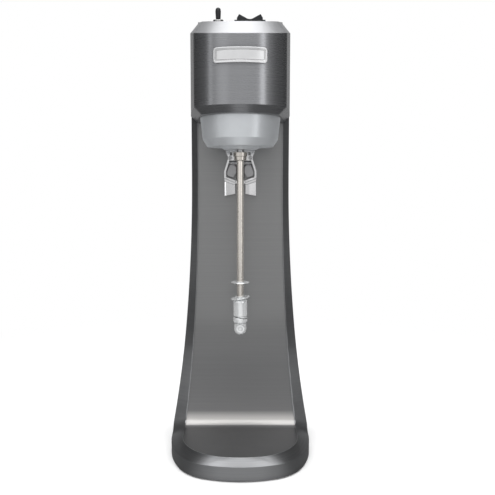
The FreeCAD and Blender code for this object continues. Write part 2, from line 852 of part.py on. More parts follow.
def badge_block(name, inset, near, far):
    """A rounded rectangle on the head's bowed front, between two distances from its surface."""
    low, high, half, corner = S.badge_low, S.badge_high, S.badge_half_width, S.badge_corner
    outline = pushed(name + "_outline", "XZ", -75.0, 30.0, rounded_rectangle(
        half - inset, low + inset, high - inset, corner - 0.5 * inset))
    centre = (0.0, S.head_front_radius - S.head_front, low - 5.0)
    outer = rod(name + "_far", S.head_front_radius + far, 30.0, centre)
    inner = rod(name + "_near", S.head_front_radius + near, 30.0, centre)
    return cut(name, shared(name + "_solid", outline, outer), inner)


def make_badge():
    """A plain plate: a raised rim, a sunk field and a fine line round it."""
    plate = badge_block("badge_body", 0.0, 0.0, 1.9)
    field = badge_block("badge_field", 1.5, 1.5, 3.0)
    line = cut("badge_line", badge_block("line_outer", 2.6, 1.2, 3.0), badge_block("line_inner", 3.1, 1.0, 4.0))
    node("badge_plate", cut("badge", plate, field, line))


# ---------------------------------------------------------------------------------------------
# Motor


def make_bell():
    bottom = S.head_bottom
    low = S.bell_bottom
    radius = S.bell_radius
    pocket = S.lower_bearing
    profile = [
        (4.6, low), (18.6, low), (23.3, low + 3.0), (radius - 7.7, low + 3.0), (radius - 2.6, low + 11.0),
        (radius, bottom), (radius, bottom + 3.0), (radius + 3.0, bottom + 3.0), (radius + 3.0, S.core_bottom),
        (36.8, S.core_bottom), (36.8, bottom + 3.0), (radius - 2.6, bottom), (radius - 5.4, low + 13.0),
        (radius - 8.5, low + 6.0), (15.0, low + 6.0), (15.0, pocket + S.bearing_width),
        (S.bearing_outer, pocket + S.bearing_width), (S.bearing_outer, pocket), (8.0, pocket),
        (8.0, low + 1.5), (4.6, low + 1.5),
    ]
    holes = [rod("bell_bolt_hole", 2.0, 10.0, (40.0 * side, S.spindle_y, bottom - 0.4)) for side in (-1, 1)]
    node("lower_bearing_bell", cut("bell_tapped", turned("bell", profile), *holes))
    seal = [(S.shaft_radius + S.running_gap, 357.6), (8.0, 357.6), (8.0, 361.6), (6.6, 361.6), (5.0, 359.4)]
    node("spindle_seal", turned("seal", seal + [(S.shaft_radius + S.running_gap, 359.4)]))


def make_bearing(side, low, balls):
    high = low + S.bearing_width
    inner = 5.9
    outer = 9.0
    node(f"{side}_bearing_outer_race", turned(side + "_outer", ring_profile(outer, S.bearing_outer, low, high)))
    node(f"{side}_bearing_inner_race", turned(side + "_inner", ring_profile(S.shaft_radius, inner, low, high)))
    for k in range(8):
        angle = 2 * math.pi * k / 8
        ball = DOC.addObject("Part::Sphere", side + "_ball")
        ball.Radius = 1.5
        put(ball, (7.45 * math.cos(angle), S.spindle_y + 7.45 * math.sin(angle), low + S.bearing_width / 2))
        balls.append(ball)


def make_bearings():
    balls = []
    make_bearing("lower", S.lower_bearing, balls)
    make_bearing("upper", S.upper_bearing, balls)
    node("bearing_balls", group("balls", *balls))


def make_stator():
    low, high = S.core_bottom, S.core_top
    centre = (0.0, S.spindle_y)
    tall = high - low
    ring = turned("stator_ring", ring_profile(36.0, S.stator_radius, low, high))
    pole_disc = turned("pole_disc", ring_profile(S.core_radius + 0.6, 36.0, low, high))
    pole_block = box("pole_block", (-16.0, -60.0, low), (16.0, 40.0, high))
    stator = fused("stator_whole", ring, shared("stator_poles", pole_disc, pole_block))
    bolt_holes = [rod("stator_bolt_hole", 2.1, tall, (40.0 * side, centre[1], low)) for side in (-1, 1)]
    node("stator_core", cut("stator", stator, *bolt_holes))
    coil_disc = turned("coil_disc", ring_profile(24.0, 34.0, low - 5.0, high + 5.0))
    wide = pushed("coil_wide", "XZ", -60.0, 100.0, rectangle(24.0, low - 5.0, high + 5.0))
    window = pushed("coil_window", "XZ", -60.0, 100.0, rectangle(16.0, low, high))
    node("field_coils", shared("coils", coil_disc, cut("coil_frame", wide, window)))


def make_bridge():
    y = S.spindle_y
    bearing = S.upper_bearing
    profile = [
        (S.bearing_outer, bearing - 2.0),
        (14.0, bearing - 2.0),
        (14.0, bearing + 9.0),
        (4.6, bearing + 9.0),
        (4.6, bearing + S.bearing_width),
        (S.bearing_outer, bearing + S.bearing_width),
    ]
    hub = turned("bridge_hub", profile)
    pieces = [hub]
    holes = []
    bolts = []
    for side in (-1, 1):
        low_x, high_x = sorted((13.0 * side, 44.0 * side))
        pieces.append(box("bridge_bar", (low_x, y - 7.0, bearing), (high_x, y + 7.0, bearing + 5.0)))
        pieces.append(rod("bridge_post", 3.8, bearing - S.core_top, (40.0 * side, y, S.core_top)))
        holes.append(rod("bridge_hole", 2.1, 40.0, (40.0 * side, y, S.core_top)))
        shank = rod("motor_shank", 2.0, bearing + 9.0 - S.core_bottom, (40.0 * side, y, S.core_bottom - 4.0))
        head = rod("motor_head", 3.6, 3.0, (40.0 * side, y, bearing + 5.0))
        bolts.append(fused("motor_bolt", shank, head))
    node("upper_bearing_bridge", cut("bridge", fused("bridge_whole", *pieces), *holes))
    node("motor_bolts", group("through_bolts", *bolts))


def make_brushes():
    y = S.spindle_y
    bridge = S.upper_bearing
    inner = S.commutator_radius
    holders, brushes, springs = [], [], []
    for side in (-1, 1):
        def span(name, near, far, half, low, high):
            low_x, high_x = sorted((near * side, far * side))
            return box(name, (low_x, y - half, low), (high_x, y + half, high))
        shell = span("holder_shell", 12.9, 33.0, 5.0, bridge - 14.0, bridge - 5.0)
        pad = span("holder_pad", 20.0, 30.0, 5.0, bridge - 6.0, bridge)
        pocket = span("holder_pocket", 12.0, 32.0, 3.0, bridge - 12.5, bridge - 6.5)
        holders.append(cut("brush_holder", fused("holder_whole", shell, pad), pocket))
        brushes.append(span("brush", 12.15, 23.0, 2.95, bridge - 12.4, bridge - 6.6))
        start = 23.0 if side > 0 else -32.0
        coil = rod("brush_spring", 2.2, 9.0, (start, y, bridge - 9.5), "X")
        core = rod("spring_core", 1.4, 9.0, (start, y, bridge - 9.5), "X")
        springs.append(cut("brush_coil", coil, core))
    node("brush_holders", group("holders", *holders))
    node("carbon_brushes", group("brushes", *brushes))
    node("brush_springs", group("coils_of_brushes", *springs))
    segments = turned("commutator_drum", ring_profile(S.shaft_radius, inner, bridge - 15.0, bridge - 4.0))
    groove_sketch = body_sketch(segments, "XY_Plane", bridge - 4.0)
    draw_outline(groove_sketch, [(inner - 1.2, -0.3), (inner + 1.0, -0.3), (inner + 1.0, 0.3), (inner - 1.2, 0.3)])
    DOC.recompute()
    groove = segments.newObject("PartDesign::Pocket", "commutator_groove")
    groove.Profile = groove_sketch
    bind(groove, "Length", as_dim(8.0))
    DOC.recompute()
    repeat_around(segments, groove, 20)
    node("commutator", segments)


def make_rotor():
    low, high = S.core_bottom, S.core_top
    rod_end = 348.4
    node("armature_shaft", turned("motor_shaft", [(0.0, rod_end), (S.shaft_radius, rod_end), (S.shaft_radius, 465.4),
                                                   (S.shaft_radius - 0.6, 466.0), (0.0, 466.0)]))
    core = turned("armature", ring_profile(S.shaft_radius, S.core_radius, low, high))
    slot_sketch = body_sketch(core, "XY_Plane", high)
    draw_outline(slot_sketch, [(15.0, -1.6), (20.5, -1.6), (20.5, -0.6), (23.0, -0.6), (23.0, 0.6), (20.5, 0.6),
                               (20.5, 1.6), (15.0, 1.6)])
    DOC.recompute()
    slot = core.newObject("PartDesign::Pocket", "armature_slot")
    slot.Profile = slot_sketch
    bind(slot, "Length", high - low)
    DOC.recompute()
    repeat_around(core, slot, 12)
    node("armature_core", core)
    ends = []
    for bottom, top in ((low - 7.0, low), (high, high + 7.0)):
        mid = (bottom + top) / 2
        ends.append(turned("end_turns", [(6.0, bottom + 2.0), (8.0, bottom), (16.0, bottom), (19.0, mid, 6.0),
                                         (16.0, top, 6.0), (6.0, top)]))
    node("armature_windings", group("windings", *ends))
    fan = turned("fan", [(S.shaft_radius, 376.0), (9.0, 376.0), (9.0, 386.0), (36.0, 386.0), (36.0, 387.2),
                         (S.shaft_radius, 387.2)])
    blade_sketch = body_sketch(fan, "XY_Plane", 377.0)
    draw_outline(blade_sketch, [(8.0, -0.6), (35.5, 3.4, 60.0), (35.5, 4.6), (8.0, 0.6, -60.0)])
    DOC.recompute()
    blade = fan.newObject("PartDesign::Pad", "fan_blade")
    blade.Profile = blade_sketch
    blade.Length = 9.5
    DOC.recompute()
    repeat_around(fan, blade, 9)
    for body in (core, fan, NODES["commutator"]):
        put(body, (0.0, S.spindle_y, 0.0))
    node("cooling_fan", fan)


# ---------------------------------------------------------------------------------------------
# Spindle and agitator


def make_spindle():
    shaft = S.rod_radius
    join = 348.4
    collar = [
        (shaft, 343.5), (6.2, 343.5), (6.9, 344.2), (6.9, 348.4), (7.9, 348.4), (7.9, 352.6), (7.2, 353.3),
        (S.shaft_radius, 353.3), (S.shaft_radius, join), (shaft, join),
    ]
    node("spindle_collar", turned("collar", collar))
    through = rod("shaft_cross_hole", 2.2, 30.0, (0.0, S.spindle_y - 15.0, S.cross_screw), "Y")
    stem = turned("spindle_stem", [(0.0, 147.6), (shaft, 147.6), (shaft, join), (0.0, join)])
    node("spindle_shaft", cut("spindle_rod", stem, through))
    node("upper_disc", turned("top_disc", [(shaft, 203.4), (5.4, 203.4), (5.4, 204.0), (10.2, 204.0), (10.6, 204.5),
                                           (10.2, 205.0), (5.4, 205.0), (5.4, 205.6), (shaft, 205.6)]))
    lean = Rotation(Vector(0, 1, 0), -9)
    leaning = rod("leaning_disc", 10.8, 1.1, (0.0, S.spindle_y, 186.0), turn=lean)
    hub = rod("leaning_hub", 5.6, 3.6, (0.0, S.spindle_y, 184.9))
    bore = rod("leaning_bore", shaft, 20.0, (0.0, S.spindle_y, 176.0))
    node("lower_disc", cut("wobble_disc", fused("wobble_whole", leaning, hub), bore))
    wide = S.agitator_radius
    node("agitator_sleeve", turned("sleeve", [(shaft, 184.9), (5.6, 184.9), (wide, 181.8, -3.2), (wide, 165.6),
                                              (wide - 0.7, 164.9), (shaft, 164.9)]))
    ring = turned("ring_blank", [
        (shaft, 157.7), (7.4, 157.7), (8.2, 158.9), (8.2, 162.6), (7.6, 164.9), (shaft, 164.9),
    ])
    slit = box("ring_slit", (-12.0, -30.0, 164.9), (12.0, 10.0, 165.9), Rotation(Vector(0, 1, 0), 8))
    slit_core = rod("slit_core", 5.6, 30.0, (0.0, S.spindle_y, 150.0))
    node("agitator_ring", cut("ring_slotted", ring, cut("slit_outer", slit, slit_core)))
    tip = turned("tip_blank", [
        (0.0, 143.8), (3.2, 143.8), (6.9, 148.6, 5.6), (6.9, 156.4), (6.2, 157.7), (shaft, 157.7), (shaft, 147.6),
        (0.0, 147.6),
    ])
    seat = box("screw_seat", (-8.0, -30.0, 140.0), (8.0, S.spindle_y - 6.2, 160.0))
    seat_zone = rod("screw_seat_zone", 5.0, 12.0, (0.0, -28.0, S.cross_screw), "Y")
    tip_hole = rod("tip_cross_hole", 2.2, 30.0, (0.0, S.spindle_y - 15.0, S.cross_screw), "Y")
    node("agitator_tip", cut("tip", tip, shared("screw_flat", seat, seat_zone), tip_hole))
    head = rod("screw_head", 4.6, 1.5, (0.0, S.spindle_y - 7.7, S.cross_screw), "Y")
    shank = rod("screw_shank", 2.2, 12.0, (0.0, S.spindle_y - 6.2, S.cross_screw), "Y")
    socket = rod("screw_socket", 2.7, 0.8, (0.0, S.spindle_y - 7.7, S.cross_screw), "Y")
    node("agitator_screw", cut("cross_screw", fused("screw_whole", head, shank), socket))


# ---------------------------------------------------------------------------------------------
# Controls


def make_toggle():
    place = on_roof(S.toggle_x)
    hinge = on_roof(S.toggle_x, -2.0)
    bushing = [
        (3.2, -9.0), (4.6, -9.0), (4.6, 1.9), (3.9, 1.9), (3.2, -2.2),
    ]
    pin_way = rod("toggle_pin_way", S.toggle_pin + 0.2, 8.8, (S.toggle_x - 4.4, hinge[1], hinge[2]), "X")
    node("toggle_bushing", cut("bushing_drilled", turned("bushing", bushing, place, TILT), pin_way))
    node("toggle_nut", turned("nut", [(4.6, 0.0), (5.4, 0.0), (5.4, 1.2), (5.0, 1.8), (4.6, 1.8)], place, TILT))
    shell = roof_box("switch_shell", S.toggle_x, (-6.5, -8.5, -26.0), (6.5, 8.5, -9.0))
    pocket = roof_box("switch_pocket", S.toggle_x, (-4.5, -6.5, -18.0), (4.5, 6.5, -5.0))
    tabs = []
    for k in (-1, 0, 1):
        tabs.append(roof_box("switch_tab", S.toggle_x, (-0.4 + 4.0 * k, -2.5, -31.0), (0.4 + 4.0 * k, 2.5, -26.0)))
    node("toggle_switch_body", fused("toggle_body", cut("switch_case", shell, pocket), *tabs))
    top = S.toggle_height
    dome = (1.9 * 1.9 + 0.7 * 0.7) / (2 * 0.7)
    lever = [(0.0, -11.0), (1.1, -11.0), (1.2, -4.6), (3.1, -2.0), (2.4, 0.2), (2.95, top - 4.0), (2.6, top - 1.6),
             (1.9, top - 0.7), (0.0, top, dome)]
    pin = rod("toggle_pin", S.toggle_pin, 8.4, (S.toggle_x - 4.2, hinge[1], hinge[2]), "X")
    node("toggle_lever", fused("lever_and_pin", turned("lever", lever, place, TILT), pin))


def make_rocker():
    x = S.rocker_x
    wide = S.rocker_half_width
    deep = S.rocker_half_depth
    case = roof_box("rocker_case", x, (-15.2, -9.5, -19.0), (15.2, 9.5, 0.0))
    flange = roof_box("rocker_flange", x, (-wide, -deep, 0.0), (wide, deep, 1.5))
    space = roof_box("rocker_space", x, (-14.7, -8.9, -12.0), (14.7, 8.9, 5.0))
    frame = Placement(Vector(*[value_of(c) for c in on_roof(x)]), TILT)
    pin_frame = frame.multiply(Placement(Vector(0, -10.0, -2.0), AXES["Y"]))
    pin_hole = rod("rocker_pin_hole", 2.2, 20.0, (0.0, 0.0, 0.0))
    pin_hole.Placement = pin_frame
    node("rocker_housing", cut("rocker_shell", fused("rocker_whole", case, flange), space, pin_hole))
    outline = flat_sketch("paddle_outline", "XZ", 0.0, [
        (-13.6, -3.0), (-9.0, -5.5), (9.0, -5.5), (13.6, -3.0), (13.6, 3.4), (11.25, 7.2), (3.0, 2.9),
        (-3.0, 2.9, -8.0), (-11.25, 7.2), (-13.6, 3.4),
    ])
    outline.Placement = frame.multiply(Placement(Vector(0, -8.6, 0), PLANES["XZ"][0]))
    paddle = DOC.addObject("Part::Extrusion", "paddle")
    paddle.Base = outline
    paddle.DirMode = "Custom"
    paddle.Dir = TILT.multVec(Vector(0, 1, 0))
    paddle.LengthFwd = 17.2
    paddle.Solid = True
    pin = rod("paddle_pin", 2.0, 19.0, (0.0, 0.0, 0.0))
    pin.Placement = frame.multiply(Placement(Vector(0, -9.5, -2.0), AXES["Y"]))
    node("rocker_paddle", fused("paddle_whole", paddle, pin))


# ---------------------------------------------------------------------------------------------
# Cup bracket, lever and microswitch


def mirrored_band(name, points, front, depth):
    """A band pushed along Y, together with its mirror image."""
    band = pushed(name, "XZ", front, depth, points)
    return fused(name + "_pair", band, flipped(name + "_other", band))


def make_bracket():
    front = S.bracket_front
    seat = S.column_front + S.panel_sink
    plate_front = seat - 1.8
    top, bottom, wide = S.bracket_top, S.bracket_bottom, S.bracket_half_width
    plate = pushed("bracket_plate", "XZ", plate_front, 1.8, [
        (-wide + 0.5, bottom), (-6.3, bottom + 2.4), (-6.3, bottom + 15.0), (6.3, bottom + 15.0), (6.3, bottom + 2.4),
        (wide - 0.5, bottom), (wide - 0.5, 319.0), (wide, 323.0), (wide, 333.0), (15.2, 345.0), (15.2, 350.5),
        (18.2, top), (-18.2, top), (-15.2, 350.5), (-15.2, 345.0), (-wide, 333.0), (-wide, 323.0), (-wide + 0.5, 319.0),
    ])
    window = pushed("bracket_window", "XZ", plate_front - 5.0, 12.0, [
        (-5.6, 321.6), (5.6, 321.6), (17.2, 326.0), (17.2, 332.6), (13.0, 345.8), (-13.0, 345.8), (-17.2, 332.6),
        (-17.2, 326.0),
    ])
    arms = mirrored_band("bracket_arm", [
        (13.0, 345.8), (17.2, 332.6), (17.2, 326.0), (5.6, 321.6), (6.4, 319.4), (wide, 324.4), (wide, 333.0),
        (15.2, 347.0), (13.0, 347.0),
    ], front, plate_front - front)
    top_lip = pushed("bracket_lip", "XZ", plate_front - 2.6, 2.6, [
        (-17.4, top - 1.6), (17.4, top - 1.6), (18.2, top), (-18.2, top),
    ])
    pads = mirrored_band("bracket_pad", [
        (6.3, bottom + 2.4), (wide - 0.5, bottom), (wide - 0.5, 320.2), (8.6, 316.6), (6.3, 316.6),
    ], front - 1.6, plate_front - front + 1.6)
    cup = rod("cup_clearance", S.cup_radius, 30.0, (0.0, S.spindle_y, 295.0))
    groove = mirrored_band("bracket_slot", [(7.8, 307.4), (9.2, 307.4), (9.2, 316.0), (7.8, 316.0)], front - 5.0, 6.6)
    holes = [rod("pin_seat", S.pin_radius, 40.0, (-20.0, S.lever_y, S.lever_z), "X")]
    for side in (-1, 1):
        holes.append(rod("bracket_hole", 1.6, 12.0, (S.bracket_screw_x * side, 40.0, S.bracket_screw_z), "Y"))
        holes.append(box("bracket_square", (11.2 * side - 1.4, 35.0, 352.2), (11.2 * side + 1.4, 50.0, 355.8)))
    body = fused("bracket_whole", cut("bracket_open", plate, window), arms, top_lip, pads)
    node("cup_bracket", cut("bracket", body, cup, groove, *holes))
    node("lever_pin", rod("pin", S.pin_radius, 31.0, (-15.5, S.lever_y, S.lever_z), "X"))
    screws = []
    for side in (-1, 1):
        head = rod("bracket_head", 2.1, 2.2, (S.bracket_screw_x * side, plate_front - 2.2, S.bracket_screw_z), "Y")
        shank = rod("bracket_shank", 1.5, 11.0, (S.bracket_screw_x * side, plate_front, S.bracket_screw_z), "Y")
        screws.append(fused("bracket_screw", head, shank))
    node("bracket_screws", group("screws_of_bracket", *screws))


def make_lever():
    y, z = S.lever_y, S.lever_z
    bore = S.pin_radius + S.running_gap
    hub = rod("lever_hub", 2.6, 24.0, (-12.0, y, z), "X")
    wings = mirrored_band("lever_wing", [
        (11.9, z - 1.0), (8.8, z - 1.0), (5.2, z - 5.4), (5.2, z - 12.0), (8.4, z - 17.6), (14.6, z - 16.0),
        (16.0, z - 14.0), (16.0, z - 10.6),
    ], y - 0.2, 1.5)
    arm = box("lever_arm", (-2.5, y, z - 4.5), (2.5, y + 9.9, z - 1.6))
    tail = box("lever_tail", (-2.5, y + 7.4, S.contact_z - 2.5), (2.5, y + 9.9, z - 1.6))
    hole = rod("lever_bore", bore, 40.0, (-20.0, y, z), "X")
    node("cup_lever", cut("lever_cut", fused("lever_whole", hub, wings, arm, tail), hole))
    outer = rod("spring_outer", 3.5, 2.2, (2.8, y, z), "X")
    inner = rod("spring_inner", 2.9, 2.2, (2.8, y, z), "X")
    node("lever_spring", cut("return_spring", outer, inner))


def make_microswitch():
    z = S.contact_z
    case = box("micro_case", (-10.0, 56.0, z - 10.0), (10.0, 72.0, z + 12.0))
    slide = box("micro_slide", (-1.6, 55.0, z - 1.6), (1.6, 62.0, z + 1.6))
    holes = [rod("micro_hole", 1.5, 40.0, (-20.0, 66.0, z + dz), "X") for dz in (-6.0, 8.0)]
    node("microswitch_body", cut("micro_body", case, slide, *holes))
    node("microswitch_plunger", box("micro_plunger", (-1.5, 51.2, z - 1.5), (1.5, 58.0, z + 1.5)))
    arm = box("micro_arm", (10.0, 51.0, z - 10.0), (11.5, 72.0, z + 12.0))
    foot = box("micro_foot", (11.5, 51.0, z - 10.0), (20.0, 52.5, z + 12.0))
    holes = [rod("micro_arm_hole", 1.5, 40.0, (-20.0, 66.0, z + dz), "X") for dz in (-6.0, 8.0)]
    node("microswitch_bracket", cut("micro_bracket", fused("micro_angle", arm, foot), *holes))
    screws = []
    for dz in (-6.0, 8.0):
        shank = rod("micro_shank", 1.5, 22.5, (-10.0, 66.0, z + dz), "X")
        head = rod("micro_head", 2.6, 1.8, (-11.8, 66.0, z + dz), "X")
        screws.append(fused("micro_screw", shank, head))
    node("microswitch_screws", group("screws_of_microswitch", *screws))


def make_electrics():
    block = box("terminal_base", (-24.0, 51.0, 366.0), (24.0, 60.0, 380.0))
    cups = []
    for k in range(6):
        cups.append(rod("terminal_cup", 2.2, 6.0, (-20.0 + 8.0 * k, 55.0, 373.0), "Y"))
    node("terminal_block", cut("terminals", block, *cups))
    can = rod("capacitor_can", 8.0, 30.0, (38.0, 59.2, 350.0))
    strap = box("capacitor_strap", (27.0, 51.0, 360.0), (49.0, 52.4, 370.0))
    node("suppressor_capacitor", fused("capacitor", can, strap))
    board = box("board", (-50.0, 56.0, 300.0), (-20.0, 57.6, 340.0))
    posts = []
    for x in (-46.0, -24.0):
        for z in (304.0, 336.0):
            posts.append(rod("board_post", 2.0, 5.0, (x, 51.0, z), "Y"))
    diode = rod("board_diode", 2.6, 12.0, (-41.0, 60.0, 312.0), "X")
    triac = box("board_triac", (-40.0, 57.6, 322.0), (-30.0, 61.6, 332.0))
    node("speed_board", fused("speed_control", board, *posts, diode, triac))


# ---------------------------------------------------------------------------------------------
# Build, check and write


def write_parts():
    DOC.recompute()
    for thing in DOC.Objects:
        bad = [word for word in thing.State if word in ("Invalid", "Error")]
        if bad:
            raise RuntimeError(f"{thing.Name} ({thing.Label}) is {bad}")
    for name, thing in NODES.items():
        shape = thing.Shape
        if shape.isNull() or not shape.isValid() or shape.Volume <= 0:
            raise RuntimeError(f"{name} has no valid solid")
    os.makedirs("parts", exist_ok=True)
    for name, thing in NODES.items():
        thing.Shape.exportStep(f"parts/{name}.step")
        bounds = thing.Shape.BoundBox
        print(f"{name:26s} {len(thing.Shape.Solids)} solids {thing.Shape.Volume:11.0f} mm3 "
              f"x {bounds.XMin:.1f}..{bounds.XMax:.1f} y {bounds.YMin:.1f}..{bounds.YMax:.1f} "
              f"z {bounds.ZMin:.1f}..{bounds.ZMax:.1f}")
    print(len(NODES), "parts")


make_stand()
make_panel()
make_rear_cover()
make_gland()
make_base()
make_housing()
make_cap()
make_badge()
make_bell()
make_bearings()
make_stator()
make_bridge()
make_brushes()
make_rotor()
make_spindle()
make_toggle()
make_rocker()
make_bracket()
make_lever()
make_microswitch()
make_electrics()
write_parts()
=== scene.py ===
import json
import math

import bmesh
import bpy
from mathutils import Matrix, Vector

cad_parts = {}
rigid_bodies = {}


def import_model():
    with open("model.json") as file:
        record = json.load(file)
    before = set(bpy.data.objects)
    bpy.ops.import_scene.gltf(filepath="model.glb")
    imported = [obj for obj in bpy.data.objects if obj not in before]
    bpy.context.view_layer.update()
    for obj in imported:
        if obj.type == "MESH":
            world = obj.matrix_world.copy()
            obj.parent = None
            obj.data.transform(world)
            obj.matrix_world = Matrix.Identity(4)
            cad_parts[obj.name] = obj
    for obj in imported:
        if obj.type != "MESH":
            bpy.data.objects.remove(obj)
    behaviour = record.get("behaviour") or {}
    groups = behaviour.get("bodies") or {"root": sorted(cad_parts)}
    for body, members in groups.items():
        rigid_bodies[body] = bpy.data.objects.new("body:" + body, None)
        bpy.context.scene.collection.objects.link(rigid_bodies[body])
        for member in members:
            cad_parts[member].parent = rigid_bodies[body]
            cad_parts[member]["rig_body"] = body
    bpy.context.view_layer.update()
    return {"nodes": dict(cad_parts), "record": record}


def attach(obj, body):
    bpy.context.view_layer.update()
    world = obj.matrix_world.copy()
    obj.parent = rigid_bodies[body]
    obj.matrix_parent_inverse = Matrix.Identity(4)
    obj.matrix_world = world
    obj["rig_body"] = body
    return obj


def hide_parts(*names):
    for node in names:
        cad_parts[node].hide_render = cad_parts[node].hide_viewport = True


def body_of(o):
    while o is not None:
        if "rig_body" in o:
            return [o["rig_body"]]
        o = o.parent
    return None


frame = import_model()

NODES = frame["nodes"]
MM = 0.001


# ---------------------------------------------------------------------------------------------
# Camera, floor and light


CAMERA_PLACE = (0.0, -0.708, 0.317)
CAMERA_TILT_DOWN = math.radians(5.9)
CAMERA_LENS = 44.44
CAMERA_SHIFT = 0.01455
FLOOR_HALF = 9.0
FLOOR_FADE = (0.16, 0.75)
MIDDLE = (0.0, 0.0, 0.25)
STRIP_HEIGHT = 0.35

# Brightness of the room that gloss mirrors, by turn from the front (0) to the back (1) on either side.
ROOM_TONES = (
    (0.0, 0.70), (0.24, 0.66), (0.34, 0.34), (0.42, 0.12),
    (0.57, 0.04), (0.80, 0.08), (0.88, 0.24), (1.0, 0.42),
)


def make_camera():
    data = bpy.data.cameras.new("camera")
    data.sensor_width = 36.0
    data.lens = CAMERA_LENS
    data.shift_x = CAMERA_SHIFT
    data.clip_end = 50.0
    camera = bpy.data.objects.new("camera", data)
    camera.location = CAMERA_PLACE
    camera.rotation_euler = (math.radians(90.0) - CAMERA_TILT_DOWN, 0.0, 0.0)
    bpy.context.scene.collection.objects.link(camera)
    bpy.context.scene.camera = camera


class Graph:
    """Adds nodes to one node tree and joins them."""

    def __init__(self, tree):
        self.tree = tree

    def node(self, kind, **settings):
        made = self.tree.nodes.new("ShaderNode" + kind)
        for name, setting in settings.items():
            setattr(made, name, setting)
        return made

    def link(self, source, target):
        self.tree.links.new(source, target)

    def calculate(self, operation, first, second=None):
        """The result of an operation on a socket and, where there is one, a second socket or number."""
        made = self.node("Math", operation=operation)
        self.link(first, made.inputs[0])
        if isinstance(second, float):
            made.inputs[1].default_value = second
        elif second is not None:
            self.link(second, made.inputs[1])
        return made.outputs[0]

    def spread(self, source, low, high, start=0.3, end=0.7, curve="LINEAR"):
        """Maps start..end of a value onto low..high."""
        made = self.node("MapRange", interpolation_type=curve)
        made.inputs["From Min"].default_value = start
        made.inputs["From Max"].default_value = end
        made.inputs["To Min"].default_value = low
        made.inputs["To Max"].default_value = high
        self.link(source, made.inputs["Value"])
        return made.outputs["Result"]

    def ramp(self, source, tones):
        """A colour for each place along a 0..1 value."""
        made = self.node("ValToRGB")
        elements = made.color_ramp.elements
        while len(elements) < len(tones):
            elements.new(0.5)
        for element, (place, colour) in zip(elements, tones):
            element.position = place
            element.color = (*colour, 1)
        self.link(source, made.inputs[0])
        return made.outputs["Color"]

    def choose(self, factor, first, second):
        """One shader or another, by a factor."""
        made = self.node("MixShader")
        self.link(factor, made.inputs[0])
        self.link(first, made.inputs[1])
        self.link(second, made.inputs[2])
        return made.outputs[0]


def make_floor():
    """A white sheet: matt near the machine and glowing white further out.

    Gloss mirrors a grey floor instead, darker to the sides and behind.
    """
    mesh = bpy.data.meshes.new("studio_floor")
    corners = [(x * FLOOR_HALF, y * FLOOR_HALF, 0) for x, y in ((-1, -1), (1, -1), (1, 1), (-1, 1))]
    mesh.from_pydata(corners, [], [(0, 1, 2, 3)])
    floor = bpy.data.objects.new("studio_floor", mesh)
    bpy.context.scene.collection.objects.link(floor)
    material = bpy.data.materials.new("floor_white")
    material.use_nodes = True
    nodes = material.node_tree.nodes
    graph = Graph(material.node_tree)
    matt = nodes["Principled BSDF"]
    matt.inputs["Base Color"].default_value = (0.95, 0.95, 0.95, 1)
    matt.inputs["Roughness"].default_value = 0.9
    matt.inputs["Specular IOR Level"].default_value = 0.1
    place = graph.node("TexCoord").outputs["Object"]
    radius = graph.node("VectorMath", operation="LENGTH")
    graph.link(place, radius.inputs[0])
    split = graph.node("SeparateXYZ")
    graph.link(place, split.inputs[0])
    aside = graph.calculate("ABSOLUTE", split.outputs["X"])
    sideways = graph.calculate("DIVIDE", aside, radius.outputs["Value"])
    to_sides = graph.spread(sideways, 0.52, 0.12, 0.30, 0.75)
    behind = graph.spread(split.outputs["Y"], 1.0, 0.5, 0.02, 0.40)
    glow = graph.node("Emission")
    glow.inputs["Color"].default_value = (1, 1, 1, 1)
    mirrored = graph.node("Emission")
    graph.link(graph.calculate("MULTIPLY", to_sides, behind), mirrored.inputs["Strength"])
    fade = graph.spread(radius.outputs["Value"], 0.0, 1.0, *FLOOR_FADE, curve="SMOOTHSTEP")
    outward = graph.choose(fade, matt.outputs[0], glow.outputs[0])
    is_glossy = graph.node("LightPath").outputs["Is Glossy Ray"]
    shown = graph.choose(is_glossy, outward, mirrored.outputs[0])
    graph.link(shown, nodes["Material Output"].inputs["Surface"])
    mesh.materials.append(material)


def area_light(name, place, target, size, power):
    data = bpy.data.lights.new(name, "AREA")
    data.shape = "RECTANGLE"
    data.size, data.size_y = size
    data.energy = power
    light = bpy.data.objects.new(name, data)
    light.location = place
    aim = Vector(target) - Vector(place)
    light.rotation_euler = aim.to_track_quat("-Z", "Y").to_euler()
    bpy.context.scene.collection.objects.link(light)


def make_world():
    """White for the camera and for matt surfaces; a studio with dark flags left and right for gloss."""
    world = bpy.data.worlds.new("studio")
    bpy.context.scene.world = world
    world.use_nodes = True
    world.node_tree.nodes.clear()
    graph = Graph(world.node_tree)
    white = graph.node("Background")
    white.inputs["Color"].default_value = (1, 1, 1, 1)
    room = graph.node("Background")
    split = graph.node("SeparateXYZ")
    graph.link(graph.node("TexCoord").outputs["Generated"], split.inputs[0])
    forward = graph.calculate("MULTIPLY", split.outputs["Y"], -1.0)
    turn = graph.calculate("ARCTAN2", split.outputs["X"], forward)
    share = graph.calculate("DIVIDE", graph.calculate("ABSOLUTE", turn), math.pi)
    greys = [(place, (grey, grey, grey)) for place, grey in ROOM_TONES]
    graph.link(graph.ramp(share, greys), room.inputs["Color"])
    is_glossy = graph.node("LightPath").outputs["Is Glossy Ray"]
    shown = graph.choose(is_glossy, white.outputs[0], room.outputs[0])
    graph.link(shown, graph.node("OutputWorld").inputs[0])


def around(angle, distance):
    """A place at strip height, at an angle to the right of the line from the machine to the camera."""
    turn = math.radians(angle)
    return (distance * math.sin(turn), -distance * math.cos(turn), STRIP_HEIGHT)


